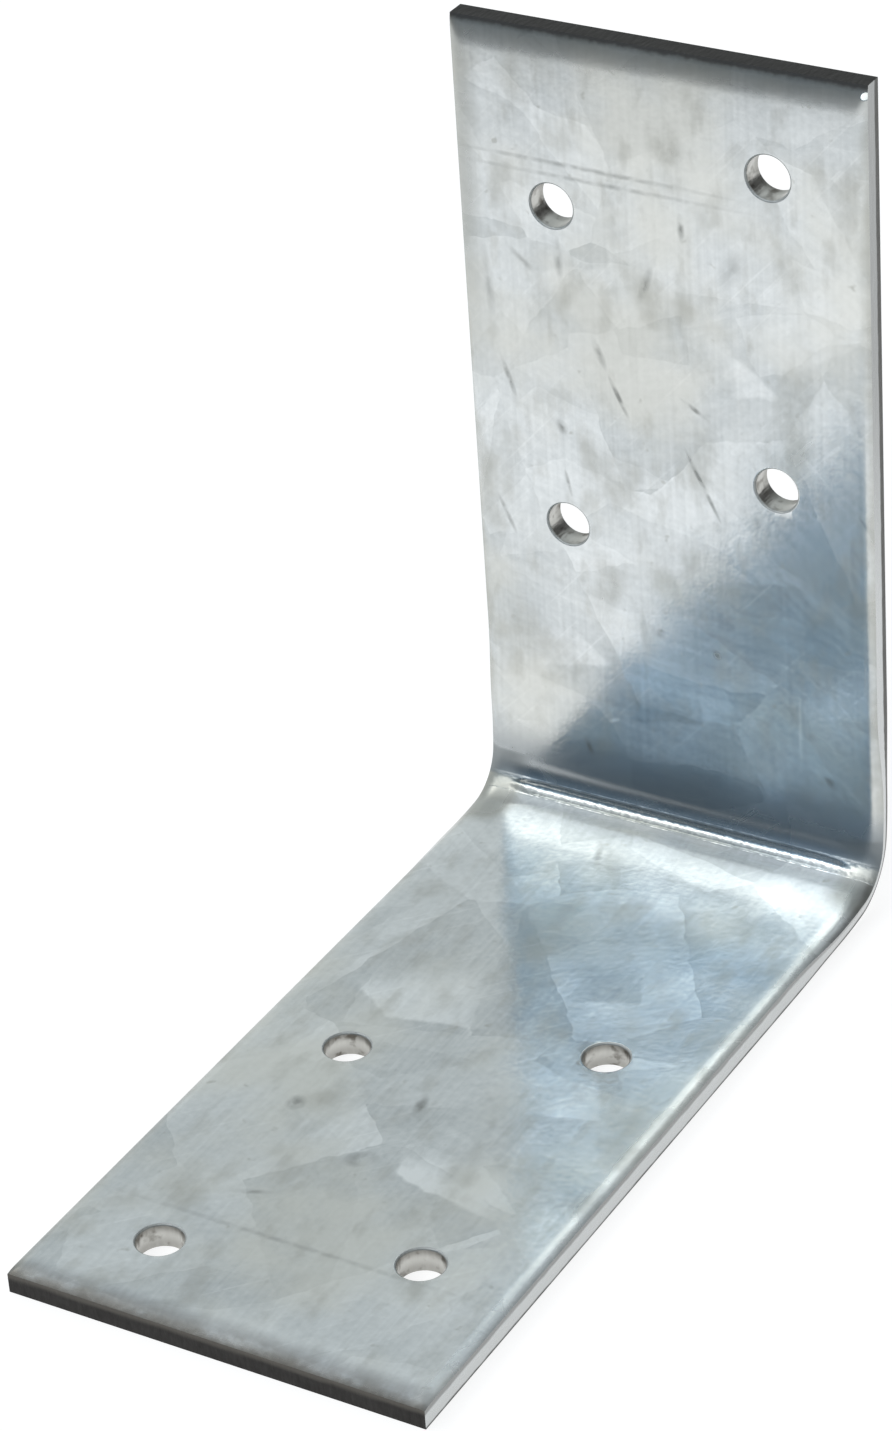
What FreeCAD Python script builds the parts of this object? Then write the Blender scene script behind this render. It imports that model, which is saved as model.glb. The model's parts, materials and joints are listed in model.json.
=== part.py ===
import FreeCAD, Part
import math
import os

# Framing angle: one strip of galvanised sheet, punched with nail holes and folded once to a right angle.
# Frame: X runs across the strip, +Y points out of the upright leg's back face, and +Z is up.
# The flat leg lies on Z = 0, and the origin is below the middle of the bounding box.

# Driving dimensions, in millimetres and degrees
strip_width = 38.1
sheet = 2.2
flat_leg = 80.6             # outside, from the free end to the upright's back face
upright_leg = 77.1          # outside, from the underside to the free end
bend_radius = 3.7           # inside of the fold's tight middle
ease_radius = 40.0          # inside, where the fold eases into each leg
ease_angle = 6.0            # how much of the fold each easing takes

# The fold squeezes the sheet: its inner edges swell out and its outer edges draw in
edge_swell = 0.35           # each inner edge, at the middle of the fold
edge_draw = 0.1             # each outer edge, at the middle of the fold
swell_run = 9.0             # how far the swelling dies out along each leg

# The press leaves a narrow groove along the inside of the fold
crease_angle = 44.0         # round the fold, from the flat leg
crease_depth = 0.29
crease_nose_radius = 0.8
crease_margin = 2.0         # bare sheet between the groove's tip and the side

# The shear rolls the edges of the inner face over
side_roll_run = 1.2
side_roll_drop = 0.3
end_roll_run = 2.7
end_roll_drop = 0.38

# Nail holes: two columns on each leg, staggered so that nails in the two legs pass each other.
# The upright's left column is repeated on the flat leg's right side, and the other way round.
hole_diameter = 3.97
hole_mouth_radius = 0.2
column_spacing = 20.3
far_column_setback = 15.8   # upright's free end to the first hole
far_column_pitch = 30.4
near_column_setback = 9.5
near_column_pitch = 28.8
flat_setback_change = -1.0  # the flat leg's holes lie this much nearer its end

# Sections that shape the swelling on each leg, and the room that cutting tools have beyond the sheet
swell_steps = 6
tool_room = 2.0

back_face = flat_leg / 2
free_end = -flat_leg / 2
half_width = strip_width / 2
outer_radius = bend_radius + sheet
outer_ease_radius = ease_radius + sheet
ease_turn = math.radians(ease_angle)
ease_sine = math.sin(ease_turn)
ease_cosine = math.cos(ease_turn)
fold_reach = outer_ease_radius * (1 + ease_sine - ease_cosine) + outer_radius * (ease_cosine - ease_sine)

X_AXIS = FreeCAD.Vector(1, 0, 0)


def in_fold_plane(y, z):
    return FreeCAD.Vector(0, y, z)


UP = in_fold_plane(0, 1)
FRONT = in_fold_plane(-1, 0)


def outward(turn):
    """From an arc's centre to the outer face, where turn goes from 0 on the flat leg to a right angle."""
    return in_fold_plane(math.sin(turn), -math.cos(turn))


upright_turn = math.pi / 2
flat_start = in_fold_plane(back_face - fold_reach, 0)
upright_start = in_fold_plane(back_face, fold_reach)
first_ease_centre = flat_start + UP * outer_ease_radius
last_ease_centre = upright_start + FRONT * outer_ease_radius
bend_centre = first_ease_centre + outward(ease_turn) * (ease_radius - bend_radius)


def roll_arc_points(run, drop):
    """Start, middle and end of an arc that leaves a face smoothly and falls by drop over run."""
    radius = (run ** 2 + drop ** 2) / (2 * drop)
    half_turn = math.asin(run / radius) / 2
    middle = (radius * math.sin(half_turn), -radius * (1 - math.cos(half_turn)))
    return (0, 0), middle, (run, -drop)


def strip_section(outside, inward, swelling):
    """Outline square to the strip's length: outer face, sides, rolled edges and inner face.

    outside is a point on the outer face, inward points from it into the sheet, and swelling is 1 in the fold
    and 0 where the strip is plain.
    """
    outer_half = half_width - edge_draw * swelling
    inner_half = half_width + edge_swell * swelling

    def at(x, depth):
        return outside + X_AXIS * x + inward * depth

    roll = [(inner_half - side_roll_run + run, sheet + fall)
            for run, fall in roll_arc_points(side_roll_run, side_roll_drop)]
    right = [at(x, depth) for x, depth in roll]
    left = [at(-x, depth) for x, depth in roll]
    outer_right = at(outer_half, 0)
    outer_left = at(-outer_half, 0)
    return Part.Wire([
        Part.makeLine(outer_left, outer_right),
        Part.makeLine(outer_right, right[2]),
        Part.Arc(right[2], right[1], right[0]).toShape(),
        Part.makeLine(right[0], left[0]),
        Part.Arc(left[0], left[1], left[2]).toShape(),
        Part.makeLine(left[2], outer_left),
    ])


def leg_pieces(start, along, inward, length):
    """A leg from the fold's edge to its free end: the dying swelling, then the plain strip."""
    sections = []
    for step in range(swell_steps + 1):
        share = step / swell_steps
        swelling = 0.5 * (1 + math.cos(math.pi * share))
        sections.append(strip_section(start + along * (swell_run * share), inward, swelling))
    swollen = Part.makeLoft(sections, True)
    plain = Part.Face(sections[-1]).extrude(along * (length - swell_run))
    return [swollen, plain]


def fold_pieces():
    """The fold from the flat leg to the upright: an easing arc, the tight bend and another easing arc."""
    arcs = (
        (first_ease_centre, outer_ease_radius, 0, ease_turn),
        (bend_centre, outer_radius, ease_turn, upright_turn - ease_turn),
        (last_ease_centre, outer_ease_radius, upright_turn - ease_turn, upright_turn),
    )
    pieces = []
    for centre, radius, start, end in arcs:
        section = strip_section(centre + outward(start) * radius, -outward(start), 1)
        pieces.append(Part.Face(section).revolve(centre, X_AXIS, math.degrees(end - start)))
    return pieces


def folded_strip():
    """The strip with its fold: a swollen section turned round the fold, and a leg on each side of it."""
    fold = fold_pieces()
    flat = leg_pieces(flat_start, FRONT, UP, flat_start.y - free_end)
    upright = leg_pieces(upright_start, UP, FRONT, upright_leg - fold_reach)
    return fold[0].fuse(fold[1:] + flat + upright)


def end_roll_tool(end, along, inward):
    """What the shear takes off a leg's end: end is on the outer face, along points off the leg."""
    tangent = end + inward * sheet - along * end_roll_run
    roll = [tangent + along * run + inward * fall for run, fall in roll_arc_points(end_roll_run, end_roll_drop)]
    beyond = roll[2] + along * tool_room
    above_end = beyond + inward * (end_roll_drop + tool_room)
    above_face = tangent + inward * tool_room
    outline = Part.Wire([
        Part.Arc(roll[0], roll[1], roll[2]).toShape(),
        Part.makeLine(roll[2], beyond),
        Part.makeLine(beyond, above_end),
        Part.makeLine(above_end, above_face),
        Part.makeLine(above_face, roll[0]),
    ])
    tool_width = strip_width + 2 * tool_room
    outline.translate(X_AXIS * (-tool_width / 2))
    return Part.Face(outline).extrude(X_AXIS * tool_width)


def crease_tool():
    """A round-ended bar that presses the groove into the inside of the fold."""
    from_centre = bend_radius + crease_depth - crease_nose_radius
    middle = bend_centre + outward(math.radians(crease_angle)) * from_centre
    half_length = half_width - crease_margin - crease_nose_radius
    left = middle - X_AXIS * half_length
    right = middle + X_AXIS * half_length
    bar = Part.makeCylinder(crease_nose_radius, 2 * half_length, left, X_AXIS)
    return bar.fuse([Part.makeSphere(crease_nose_radius, left), Part.makeSphere(crease_nose_radius, right)])


def hole_tool(outside, inward):
    """The punch for one nail hole, with the rounded mouth that it leaves in the inner face."""
    radius = hole_diameter / 2
    mouth = radius + hole_mouth_radius
    turn = hole_mouth_radius * math.sqrt(0.5)

    def at(distance, depth):
        return outside + X_AXIS * distance + inward * depth

    rim = Part.Arc(
        at(radius, sheet - hole_mouth_radius),
        at(mouth - turn, sheet - hole_mouth_radius + turn),
        at(mouth, sheet),
    ).toShape()
    outline = Part.Wire([
        Part.makeLine(at(0, -tool_room), at(radius, -tool_room)),
        Part.makeLine(at(radius, -tool_room), at(radius, sheet - hole_mouth_radius)),
        rim,
        Part.makeLine(at(mouth, sheet), at(mouth, sheet + tool_room)),
        Part.makeLine(at(mouth, sheet + tool_room), at(0, sheet + tool_room)),
        Part.makeLine(at(0, sheet + tool_room), at(0, -tool_room)),
    ])
    return Part.Face(outline).revolve(outside, inward, 360)


def nail_hole_tools():
    far_column = [far_column_setback, far_column_setback + far_column_pitch]
    near_column = [near_column_setback, near_column_setback + near_column_pitch]
    tools = []
    for side, upright_column, flat_column in ((-1, far_column, near_column), (1, near_column, far_column)):
        x = side * column_spacing / 2
        for from_end in upright_column:
            tools.append(hole_tool(FreeCAD.Vector(x, back_face, upright_leg - from_end), FRONT))
        for from_end in flat_column:
            y = free_end + from_end + flat_setback_change
            tools.append(hole_tool(FreeCAD.Vector(x, y, 0), UP))
    return tools


def framing_angle():
    flat_end = end_roll_tool(in_fold_plane(free_end, 0), FRONT, UP)
    upright_end = end_roll_tool(in_fold_plane(back_face, upright_leg), UP, FRONT)
    return folded_strip().cut([flat_end, upright_end, crease_tool()] + nail_hole_tools())


angle = framing_angle()
solids = angle.Solids
box = angle.optimalBoundingBox(True, False)
print("solids", len(solids), "valid", angle.isValid(), "volume", round(angle.Volume, 1))
print("box", [round(v, 2) for v in (box.XMin, box.XMax, box.YMin, box.YMax, box.ZMin, box.ZMax)])

os.makedirs("parts", exist_ok=True)
solids[0].exportStep("parts/framing_angle.step")
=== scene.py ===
# %% [markdown]
# # A framing angle of galvanised sheet
#
# The part is one strip of zinc-coated steel, sheared to length, punched with nail holes and folded once.
# The CAD part fixes its size and place. This lesson makes a finer mesh of the same form, and the finish of
# each surface.

# %% Load the frame
import json
import math
from types import SimpleNamespace

import bmesh
import bpy
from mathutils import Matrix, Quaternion, Vector


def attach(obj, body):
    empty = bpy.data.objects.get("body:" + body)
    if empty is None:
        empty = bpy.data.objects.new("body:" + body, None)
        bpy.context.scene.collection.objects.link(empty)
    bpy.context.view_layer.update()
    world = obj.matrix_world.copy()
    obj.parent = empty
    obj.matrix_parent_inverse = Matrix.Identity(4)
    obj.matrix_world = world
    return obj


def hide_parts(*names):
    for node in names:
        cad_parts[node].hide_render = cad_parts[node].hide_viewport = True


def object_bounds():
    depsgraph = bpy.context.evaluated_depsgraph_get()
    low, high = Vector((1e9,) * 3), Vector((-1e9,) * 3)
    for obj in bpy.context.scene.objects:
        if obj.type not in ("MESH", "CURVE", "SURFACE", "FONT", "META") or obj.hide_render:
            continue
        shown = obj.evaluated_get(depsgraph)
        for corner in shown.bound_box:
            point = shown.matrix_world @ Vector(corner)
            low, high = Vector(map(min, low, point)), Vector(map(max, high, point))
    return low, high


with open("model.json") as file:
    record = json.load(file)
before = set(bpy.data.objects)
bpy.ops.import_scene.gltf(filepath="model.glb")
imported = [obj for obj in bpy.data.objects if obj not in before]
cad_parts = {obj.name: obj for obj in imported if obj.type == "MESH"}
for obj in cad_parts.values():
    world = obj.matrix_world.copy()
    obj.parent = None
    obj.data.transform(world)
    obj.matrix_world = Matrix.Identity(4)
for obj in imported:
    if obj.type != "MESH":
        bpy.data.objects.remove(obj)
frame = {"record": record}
cad_low, cad_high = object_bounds()
MM = 0.001
print("CAD box in mm:", [round(v / MM, 2) for v in (*cad_low, *cad_high)])

# %% [markdown]
# ## Node maths as Python
#
# Both the shape and the finishes are worked out by nodes. A node for each sum is hard to read, so one small
# class wraps a node's output and lets Python's own operators add the Math nodes. Every other node comes from
# `add`.


# %% A class for node outputs
class Wire:
    """One output of a node, which takes part in Python arithmetic."""

    def __init__(self, tree, socket):
        self.tree = tree
        self.socket = socket

    @staticmethod
    def add(tree, kind, feeds=None, output=0, stops=(), **settings):
        """Adds a node, sets it, feeds its inputs with values or wires, and returns one of its outputs."""
        made = tree.nodes.new(kind)
        for name, value in settings.items():
            setattr(made, name, value)
        for index, (place, colour) in enumerate(stops):
            if index > 1:
                made.color_ramp.elements.new(place)
            made.color_ramp.elements[index].position = place
            made.color_ramp.elements[index].color = (*colour, 1)
        for key, value in (feeds or {}).items():
            for one in value if isinstance(value, list) else [value]:
                if isinstance(one, Wire):
                    tree.links.new(one.socket, made.inputs[key])
                else:
                    made.inputs[key].default_value = one
        return Wire(tree, made.outputs[output]) if made.outputs else None

    def other(self, output):
        """Another output of the same node."""
        return Wire(self.tree, self.socket.node.outputs[output])

    def math(self, operation, *others):
        return Wire.add(self.tree, "ShaderNodeMath", dict(enumerate((self, *others))), operation=operation)

    def vector(self, operation, other=(0, 0, 0), output=0):
        feeds = {"Scale" if operation == "SCALE" else 1: other, 0: self}
        return Wire.add(self.tree, "ShaderNodeVectorMath", feeds, output, operation=operation)

    def parts(self):
        x = Wire.add(self.tree, "ShaderNodeSeparateXYZ", {0: self})
        return x, x.other(1), x.other(2)

    def __add__(self, other):
        return self.math("ADD", other)

    def __radd__(self, other):
        return self.math("ADD", other)

    def __sub__(self, other):
        return self.math("SUBTRACT", other)

    def __rsub__(self, other):
        return Wire.add(self.tree, "ShaderNodeMath", {0: other, 1: self}, operation="SUBTRACT")

    def __mul__(self, other):
        return self.math("MULTIPLY", other)

    def __rmul__(self, other):
        return self.math("MULTIPLY", other)

    def __truediv__(self, other):
        return self.math("DIVIDE", other)

    def __pow__(self, other):
        return self.math("POWER", other)

    def __abs__(self):
        return self.math("ABSOLUTE")

    def __gt__(self, other):
        return self.math("GREATER_THAN", other)

    def sin(self):
        return self.math("SINE")

    def cos(self):
        return self.math("COSINE")

    def min(self, other):
        return self.math("MINIMUM", other)

    def max(self, other):
        return self.math("MAXIMUM", other)

    def step(self, low, high):
        """Rises smoothly from 0 at low to 1 at high."""
        feeds = {"Value": self, "From Min": low, "From Max": high}
        return Wire.add(self.tree, "ShaderNodeMapRange", feeds, interpolation_type="SMOOTHSTEP")

    def mix(self, first, second):
        """A colour that goes from first to second as this wire goes from 0 to 1."""
        # A Mix node has sockets for each kind of data: inputs 6 and 7 and output 2 are the colours
        return Wire.add(self.tree, "ShaderNodeMix", {0: self, 6: first, 7: second}, 2, data_type="RGBA")

    def ramp(self, *stops):
        """A colour for each value of this wire, with stops of a place and a colour."""
        return Wire.add(self.tree, "ShaderNodeValToRGB", {0: self}, stops=stops)


print("A class for node outputs is ready")

# %% [markdown]
# ## The flat blank
#
# In the works the strip is flat when it is sheared and punched, and is folded last. The mesh is made in the
# same order: rows and columns of a flat blank are close together where the fold and the rolled edges will
# curve, and far apart where the sheet stays flat. Here x runs across the strip, y along it and z through the
# sheet, and z = 0 is the face that ends up outside. The fold is a tight bend that eases into each leg, and
# the blank's length comes from the middle of the sheet, which the fold neither stretches nor squeezes.

# %% Sizes of the strip
strip_width = 38.1 * MM
sheet = 2.2 * MM
half_width = strip_width / 2
edge_swell = cad_high.x - half_width
edge_draw = 0.1 * MM
swell_run = 9.0 * MM
side_roll_run = 1.2 * MM
side_roll_drop = 0.3 * MM
end_roll_run = 2.7 * MM
end_roll_drop = 0.38 * MM
print(f"The strip is {strip_width / MM:.1f} mm wide and {sheet / MM:.1f} mm thick")

# %% Sizes of the fold
bend_radius = 3.7 * MM
ease_radius = 40.0 * MM
ease_turn = math.radians(6.0)
tight_turn = math.pi / 2 - 2 * ease_turn
ease_gain = math.cos(ease_turn) - math.sin(ease_turn)
fold_reach = (ease_radius + sheet) * (1 - ease_gain) + (bend_radius + sheet) * ease_gain

flat_run = cad_high.y - cad_low.y - fold_reach
upright_run = cad_high.z - cad_low.z - fold_reach
ease_run = (ease_radius + sheet / 2) * ease_turn
tight_run = (bend_radius + sheet / 2) * tight_turn
tight_start = flat_run + ease_run
tight_end = tight_start + tight_run
fold_end = tight_end + ease_run
blank_length = fold_end + upright_run
print(f"The blank is {blank_length / MM:.2f} mm long, with its fold from {flat_run / MM:.2f} mm")

# %% Sizes of the crease that the press leaves inside the fold
crease_angle = math.radians(44.0)
crease_depth = 0.29 * MM
crease_nose = 0.8 * MM
crease_margin = 2.0 * MM
crease_softness = 0.15 * MM
crease_taper = 3.0 * MM
crease_centre = bend_radius + crease_depth - crease_nose
crease_half = half_width - crease_margin - crease_nose
crease_tip = math.sqrt(crease_nose ** 2 - (crease_nose - crease_depth) ** 2)


def crease_lips():
    """Where the crease's nose meets the inner face, along the blank."""
    cosine = (crease_centre ** 2 + bend_radius ** 2 - crease_nose ** 2) / (2 * crease_centre * bend_radius)
    middle_turn = crease_angle - ease_turn
    half_turn = math.acos(cosine)
    turns = (middle_turn - half_turn, middle_turn + half_turn)
    return [tight_start + tight_run / tight_turn * turn for turn in turns]


low_lip, high_lip = crease_lips()
print(f"The crease is {(high_lip - low_lip) / MM:.2f} mm wide")

# %% Rows and columns


def stretches(*starts_and_steps, end):
    """Even steps over stretches that follow each other, each given by its start and its count of steps."""
    places = []
    ends = [start for start, steps in starts_and_steps[1:]] + [end]
    for (start, steps), stop in zip(starts_and_steps, ends):
        places += [start + (stop - start) * step / steps for step in range(steps)]
    return places + [end]


rows = stretches(
    (0, 10),
    (end_roll_run, 16),
    (flat_run - swell_run, 10),
    (flat_run, 12),
    (tight_start, 12),
    (low_lip, 24),
    (high_lip, 12),
    (tight_end, 12),
    (fold_end, 10),
    (fold_end + swell_run, 16),
    (blank_length - end_roll_run, 10),
    end=blank_length,
)
right_columns = stretches(
    (0, 8),
    (crease_half - crease_taper, 16),
    (half_width - side_roll_run, 8),
    end=half_width,
)
columns = [-x for x in reversed(right_columns[1:])] + right_columns
print(f"The blank has {len(rows)} rows and {len(columns)} columns")

# %% Finishes, to be filled later
finishes = {}
for name in ("punched_wall", "zinc_face", "slit_side", "sheared_end"):
    finishes[name] = bpy.data.materials.new(name)
    finishes[name].use_nodes = True
print("Finishes to fill:", ", ".join(finishes))

# %% The blank as a closed mesh


def grid_faces(points, flip):
    """Four-cornered faces over rows of points."""
    faces = []
    for near, far in zip(points, points[1:]):
        for a, b, c, d in zip(near, near[1:], far[1:], far):
            faces.append((d, c, b, a) if flip else (a, b, c, d))
    return faces


def flat_blank():
    shape = bmesh.new()
    outer = [[shape.verts.new((x, y, 0)) for x in columns] for y in rows]
    inner = [[shape.verts.new((x, y, sheet)) for x in columns] for y in rows]
    faces = grid_faces(outer, True) + grid_faces(inner, False)
    faces += grid_faces([outer[0], inner[0]], False)
    faces += grid_faces([outer[-1], inner[-1]], True)
    faces += grid_faces([[row[0] for row in outer], [row[0] for row in inner]], True)
    faces += grid_faces([[row[-1] for row in outer], [row[-1] for row in inner]], False)
    for corners in faces:
        shape.faces.new(corners)
    mesh = bpy.data.meshes.new("flat_blank")
    mesh.materials.append(finishes["punched_wall"])
    shape.to_mesh(mesh)
    print(f"The blank's volume is {shape.calc_volume(signed=True) / MM ** 3:.0f} mm3")
    shape.free()
    blank = bpy.data.objects.new("flat_blank", mesh)
    bpy.context.scene.collection.objects.link(blank)
    return blank


blank = flat_blank()

# %% [markdown]
# ## Nail holes and the fold
#
# The nail holes are one punch repeated, and the fold is a rule that says where each point of the blank goes,
# so both are made with Geometry Nodes. The punch is a cylinder whose wall flares into the rounded mouth that
# a real punch draws into the face it enters. The holes' places and size come from the mounts of the CAD part.

# %% Where the punch strikes


def punch_column(mount):
    """A column of holes on the blank: its first hole's place, the pitch and the count."""
    x, y, z = mount["pos_m"]
    count = mount["dims"]["count"]
    pitch = mount["dims"]["spacing_y_mm"] * MM
    on_upright = abs(mount["axis"][1]) > abs(mount["axis"][2])
    middle = fold_end + z - cad_low.z - fold_reach if on_upright else y - cad_low.y
    return (x, middle - pitch * (count - 1) / 2, 0), pitch, count


nail_mounts = [mount for mount in frame["record"]["mounts"] if mount["kind"] == "bolt_pattern"]
hole_columns = [punch_column(mount) for mount in nail_mounts]
hole_radius = nail_mounts[0]["dims"]["hole_r_mm"] * MM
mouth_radius = 0.2 * MM
for (x, along, _), pitch, count in hole_columns:
    print(f"{count} holes from x {x / MM:.2f}, along {along / MM:.2f} mm, pitch {pitch / MM:.1f} mm")

# %% The punch
punch_sides = 72
punch_tiers = 3
tier_steps = 8


def punch_mesh(tree, hole, mouth, thickness):
    """A closed cylinder in three even tiers, stretched into shank, flared mouth and room above the sheet."""
    feeds = {
        "Vertices": punch_sides,
        "Side Segments": punch_tiers * tier_steps,
        "Radius": 1.0,
        "Depth": float(punch_tiers),
    }
    cylinder = Wire.add(tree, "GeometryNodeMeshCylinder", feeds, fill_type="NGON")
    x, y, z = Wire.add(tree, "GeometryNodeInputPosition").parts()
    # Below 0 is the shank, 0 to 1 the mouth, and above 1 the room
    tier = z + 0.5
    turn = tier.max(0.0).min(1.0) * (math.pi / 2)
    radius = hole + mouth - mouth * turn.cos()
    shank = tier.min(0.0) * thickness * 2.0
    room = (tier - 1.0).max(0.0) * thickness
    height = thickness - mouth + mouth * turn.sin() + shank + room
    place = Wire.add(tree, "ShaderNodeCombineXYZ", {0: x * radius, 1: y * radius, 2: height})
    punch = Wire.add(tree, "GeometryNodeSetPosition", {"Geometry": cylinder, "Position": place})
    feeds = {"Geometry": punch, "Material": finishes["punched_wall"]}
    return Wire.add(tree, "GeometryNodeSetMaterial", feeds)


def punch_points(tree):
    lines = []
    for start, pitch, count in hole_columns:
        feeds = {"Count": count, "Start Location": start, "Offset": (0, pitch, 0)}
        lines.append(Wire.add(tree, "GeometryNodeMeshLine", feeds, mode="OFFSET"))
    return Wire.add(tree, "GeometryNodeJoinGeometry", {0: lines})


print("The punch and its places are ready")

# %% [markdown]
# The fold is three bends in a row: an easing, the tight bend and another easing. One rule makes any bend.
# What lies before it stays, what lies in it turns round the bend's axis at its own radius, and what lies
# beyond it turns as one piece. The bend that is furthest from the flat leg is made first, so that each bend
# finds a straight strip before it.
#
# The sheet's inner edges swell in the fold and its outer edges draw in. The shear and the slitter leave the
# inner face's edges rolled over, and the press leaves a narrow crease inside the tight bend: where its round
# nose reaches deeper than the inner face, the point moves out to the nose. Towards its tips the crease
# tapers, so the nose's round end is stretched there.

# %% The rules for edges and crease
corner_blend = 3.0


def rolled_depth(distance, run, drop):
    """How far a rolled edge falls, where distance is how far a point lies inside the roll."""
    radius = (run ** 2 + drop ** 2) / (2 * drop)
    return radius - (radius ** 2 - distance.max(0.0) ** 2.0).math("SQRT")


def rolled_corner(across, along):
    """How far the face falls by its side's and its end's rolls, which meet softly in a corner."""
    side_fall = rolled_depth(abs(across) - (half_width - side_roll_run), side_roll_run, side_roll_drop)
    from_end = along.min(blank_length - along)
    end_fall = rolled_depth(end_roll_run - from_end, end_roll_run, end_roll_drop)
    return (side_fall ** corner_blend + end_fall ** corner_blend) ** (1 / corner_blend)


def swollen_across(across, along, depth):
    out_of_fold = (along - fold_end).max(flat_run - along).max(0.0) / swell_run
    swelling = (out_of_fold.min(1.0) * math.pi).cos() * 0.5 + 0.5
    edge_shift = depth / sheet * (edge_swell + edge_draw) - edge_draw
    return across * (1 + swelling * edge_shift / half_width)


def pressed_depth(across, along, depth):
    """The depth of a point after its edge is rolled and the crease is pressed."""
    turn = (along - tight_start) / (tight_run / tight_turn) + ease_turn
    lag = (turn - crease_angle).max(-math.pi / 2).min(math.pi / 2)
    stretched = crease_tip / (crease_taper + crease_tip)
    past_crease = (abs(across) - (crease_half - crease_taper)).max(0.0) * stretched
    reach = crease_nose ** 2 - past_crease ** 2.0 - (lag.sin() * crease_centre) ** 2.0
    nose = lag.cos() * crease_centre + reach.max(0.0).math("SQRT")
    rolled = depth.min(sheet - rolled_corner(across, along))
    return rolled.math("SMOOTH_MIN", bend_radius + sheet - nose, crease_softness)


print("The rules for edges and crease are ready")

# %% The rules for bends


def bent(along, depth, start, turn, inner_radius, thickness):
    """Where a point goes when the strip is bent up from start, through the angle turn."""
    middle_radius = inner_radius + thickness / 2.0
    past = along - start
    angle = (past / middle_radius).max(0.0).min(turn)
    beyond = (past - middle_radius * turn).max(0.0)
    outer_radius = inner_radius + thickness
    radius = outer_radius - depth
    along = start + past.min(0.0) + radius * angle.sin() + beyond * angle.cos()
    return along, outer_radius - radius * angle.cos() + beyond * angle.sin()


def folded_place(tree, size):
    across, along, depth = Wire.add(tree, "GeometryNodeInputPosition").parts()
    wide = swollen_across(across, along, depth)
    depth = pressed_depth(wide, along, depth)
    along, depth = bent(along, depth, tight_end, ease_turn, size["Ease Radius"], size["Sheet"])
    along, depth = bent(along, depth, tight_start, tight_turn, size["Bend Radius"], size["Sheet"])
    along, depth = bent(along, depth, flat_run, ease_turn, size["Ease Radius"], size["Sheet"])
    feeds = {0: wide, 1: along + cad_low.y, 2: depth + cad_low.z}
    return Wire.add(tree, "ShaderNodeCombineXYZ", feeds)


print("The fold's rules are ready")

# %% Which faces get which finish, and which edges stay sharp
face_margin = 0.01 * MM
looks_flat = 0.99
looks_out = 0.5
sharp_angle = math.radians(35)


def finish_faces(tree, geometry):
    """Each face gets its finish while the blank is flat, by the way that the face looks."""
    x, y, _ = Wire.add(tree, "GeometryNodeInputPosition").parts()
    to_x, to_y, to_z = Wire.add(tree, "GeometryNodeInputNormal").parts()
    from_middle = abs(y - blank_length / 2)
    chosen = {
        "zinc_face": abs(to_z) > looks_flat,
        "slit_side": (abs(x) > half_width - face_margin) * (abs(to_x) > looks_out),
        "sheared_end": (from_middle > blank_length / 2 - face_margin) * (abs(to_y) > looks_out),
    }
    for name, faces in chosen.items():
        feeds = {"Geometry": geometry, "Selection": faces, "Material": finishes[name]}
        geometry = Wire.add(tree, "GeometryNodeSetMaterial", feeds)
    return geometry


def soft_and_sharp(tree, geometry):
    feeds = {"Geometry": geometry, "Shade Smooth": True}
    geometry = Wire.add(tree, "GeometryNodeSetShadeSmooth", feeds)
    sharp = Wire.add(tree, "GeometryNodeInputMeshEdgeAngle") > sharp_angle
    feeds = {"Geometry": geometry, "Selection": sharp, "Shade Smooth": False}
    return Wire.add(tree, "GeometryNodeSetShadeSmooth", feeds, domain="EDGE")


print("Faces get one of", len(finishes), "finishes")

# %% The tree that punches, folds and sets the finishes


def punched(tree, geometry, size):
    punch = punch_mesh(tree, size["Hole Radius"], size["Mouth Radius"], size["Sheet"])
    feeds = {"Points": punch_points(tree), "Instance": punch}
    punches = Wire.add(tree, "GeometryNodeInstanceOnPoints", feeds)
    punches = Wire.add(tree, "GeometryNodeRealizeInstances", {0: punches})
    feeds = {"Mesh 1": geometry, "Mesh 2": punches}
    return Wire.add(tree, "GeometryNodeMeshBoolean", feeds, operation="DIFFERENCE", solver="EXACT")


def with_blank_place(tree, geometry):
    """Keeps each point's place on the flat blank, in mm, for the finishes."""
    position = Wire.add(tree, "GeometryNodeInputPosition")
    feeds = {"Geometry": geometry, "Name": "blank_mm", "Value": position.vector("SCALE", 1 / MM)}
    kind = "GeometryNodeStoreNamedAttribute"
    return Wire.add(tree, kind, feeds, data_type="FLOAT_VECTOR", domain="POINT")


def punch_and_fold_tree(sizes):
    tree = bpy.data.node_groups.new("punch_and_fold", "GeometryNodeTree")
    tree.interface.new_socket("Geometry", in_out="INPUT", socket_type="NodeSocketGeometry")
    tree.interface.new_socket("Geometry", in_out="OUTPUT", socket_type="NodeSocketGeometry")
    for name in sizes:
        tree.interface.new_socket(name, in_out="INPUT", socket_type="NodeSocketFloat")
    group = Wire.add(tree, "NodeGroupInput")
    size = {name: group.other(name) for name in sizes}
    metal = finish_faces(tree, punched(tree, group, size))
    metal = with_blank_place(tree, metal)
    feeds = {"Geometry": metal, "Position": folded_place(tree, size)}
    metal = Wire.add(tree, "GeometryNodeSetPosition", feeds)
    Wire.add(tree, "NodeGroupOutput", {"Geometry": soft_and_sharp(tree, metal)})
    return tree


print("The tree's parts are ready")

# %% Run the tree and keep a plain mesh


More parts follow.
